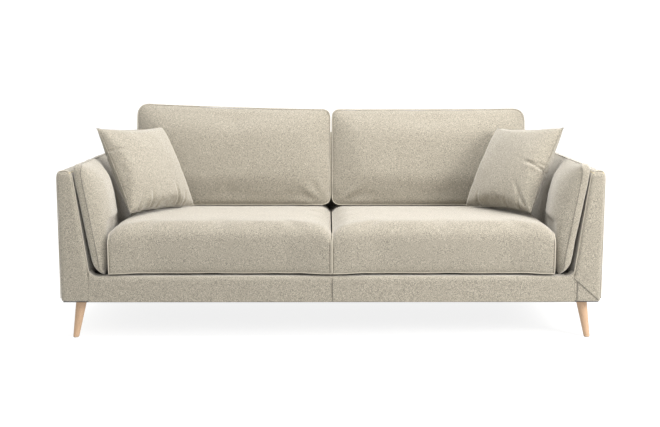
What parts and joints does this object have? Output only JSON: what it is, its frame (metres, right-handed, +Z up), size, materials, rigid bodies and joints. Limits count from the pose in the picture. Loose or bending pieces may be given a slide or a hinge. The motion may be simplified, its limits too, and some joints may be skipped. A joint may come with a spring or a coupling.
{
  "type": "sofa",
  "caption": "Upholstered sofa with loose seat and back cushions, slip-in arm pads, corner throw pillows and splayed tapered wooden legs.",
  "frame": {"origin": "on the floor, at the middle of the sofa's width and depth", "axes": "+X to the right as seen by a person facing the sofa, along its width; -Y the front; +Z up"},
  "size_m": [2.1, 0.9, 0.868],
  "materials": {
    "upholstery": "matte",
    "leg_wood": "satin",
    "frame_timber": "matte",
    "hardboard": "matte",
    "steel": "satin",
    "zip_metal": "satin",
    "foam": "matte",
    "deck_cloth": "matte",
    "dust_cloth": "matte",
    "webbing": "matte",
    "glide_felt": "matte"
  },
  "bodies": {
    "root": {"leg_front_left": "leg_wood", "leg_front_right": "leg_wood", "leg_rear_left": "leg_wood", "leg_rear_right": "leg_wood", "leg_glides": "glide_felt", "leg_plates": "steel", "leg_bolts": "steel", "leg_plate_screws": "steel", "front_rail": "frame_timber", "rear_rail": "frame_timber", "side_rail_left": "frame_timber", "side_rail_right": "frame_timber", "centre_rail": "frame_timber", "corner_blocks": "frame_timber", "seat_springs": "steel", "spring_clips": "steel", "seat_deck": "deck_cloth", "dust_cover": "dust_cloth", "rail_foam": "foam", "rail_cover_front": "upholstery", "rail_cover_rear": "upholstery", "arm_bottom_rails": "frame_timber", "arm_top_rails": "frame_timber", "arm_front_posts": "frame_timber", "arm_rear_posts": "frame_timber", "arm_outer_panels": "hardboard", "arm_inner_panels": "hardboard", "arm_foam_left": "foam", "arm_foam_right": "foam", "arm_cover_left": "upholstery", "arm_cover_right": "upholstery", "arm_bolts": "steel", "back_bottom_rail": "frame_timber", "back_top_rail": "frame_timber", "back_posts": "frame_timber", "back_webbing": "webbing", "back_rear_panel": "hardboard", "back_foam": "foam", "back_cover": "upholstery", "back_bolts": "steel"},
    "arm_pad_left": {"arm_pad_left": "upholstery", "arm_pad_foam_left": "foam"},
    "seat_cushion_left": {"seat_cushion_left": "upholstery", "seat_foam_left": "foam"},
    "back_cushion_left": {"back_cushion_left": "upholstery", "back_fill_left": "foam"},
    "throw_pillow_left": {"throw_pillow_left": "upholstery", "pillow_fill_left": "foam"},
    "seat_zip_left": {"seat_zip_left": "zip_metal"},
    "back_zip_left": {"back_zip_left": "zip_metal"},
    "arm_pad_right": {"arm_pad_right": "upholstery", "arm_pad_foam_right": "foam"},
    "seat_cushion_right": {"seat_cushion_right": "upholstery", "seat_foam_right": "foam"},
    "back_cushion_right": {"back_cushion_right": "upholstery", "back_fill_right": "foam"},
    "throw_pillow_right": {"throw_pillow_right": "upholstery", "pillow_fill_right": "foam"},
    "seat_zip_right": {"seat_zip_right": "zip_metal"},
    "back_zip_right": {"back_zip_right": "zip_metal"}
  },
  "joints": [
    {"name": "arm_pad_left_pull", "type": "slide", "parent": "root", "child": "arm_pad_left", "axis": [0, -1, 0], "range_m": [0, 0.75]},
    {"name": "seat_cushion_left_lift", "type": "slide", "parent": "root", "child": "seat_cushion_left", "axis": [0, 0, 1], "range_m": [0, 0.45]},
    {"name": "back_cushion_left_lift", "type": "slide", "parent": "seat_cushion_left", "child": "back_cushion_left", "axis": [0, 0.1392, 0.9903], "range_m": [0, 0.35]},
    {"name": "throw_pillow_left_lift", "type": "slide", "parent": "seat_cushion_left", "child": "throw_pillow_left", "axis": [0, 0, 1], "range_m": [0, 0.45]},
    {"name": "seat_zip_left_run", "type": "slide", "parent": "seat_cushion_left", "child": "seat_zip_left", "axis": [1, 0, 0], "range_m": [0, 0.74]},
    {"name": "back_zip_left_run", "type": "slide", "parent": "back_cushion_left", "child": "back_zip_left", "axis": [1, 0, 0], "range_m": [0, 0.72]},
    {"name": "arm_pad_right_pull", "type": "slide", "parent": "root", "child": "arm_pad_right", "axis": [0, -1, 0], "range_m": [0, 0.75]},
    {"name": "seat_cushion_right_lift", "type": "slide", "parent": "root", "child": "seat_cushion_right", "axis": [0, 0, 1], "range_m": [0, 0.45]},
    {"name": "back_cushion_right_lift", "type": "slide", "parent": "seat_cushion_right", "child": "back_cushion_right", "axis": [0, 0.1392, 0.9903], "range_m": [0, 0.35]},
    {"name": "throw_pillow_right_lift", "type": "slide", "parent": "seat_cushion_right", "child": "throw_pillow_right", "axis": [0, 0, 1], "range_m": [0, 0.45]},
    {"name": "seat_zip_right_run", "type": "slide", "parent": "seat_cushion_right", "child": "seat_zip_right", "axis": [-1, 0, 0], "range_m": [0, 0.74]},
    {"name": "back_zip_right_run", "type": "slide", "parent": "back_cushion_right", "child": "back_zip_right", "axis": [-1, 0, 0], "range_m": [0, 0.72]}
  ]
}
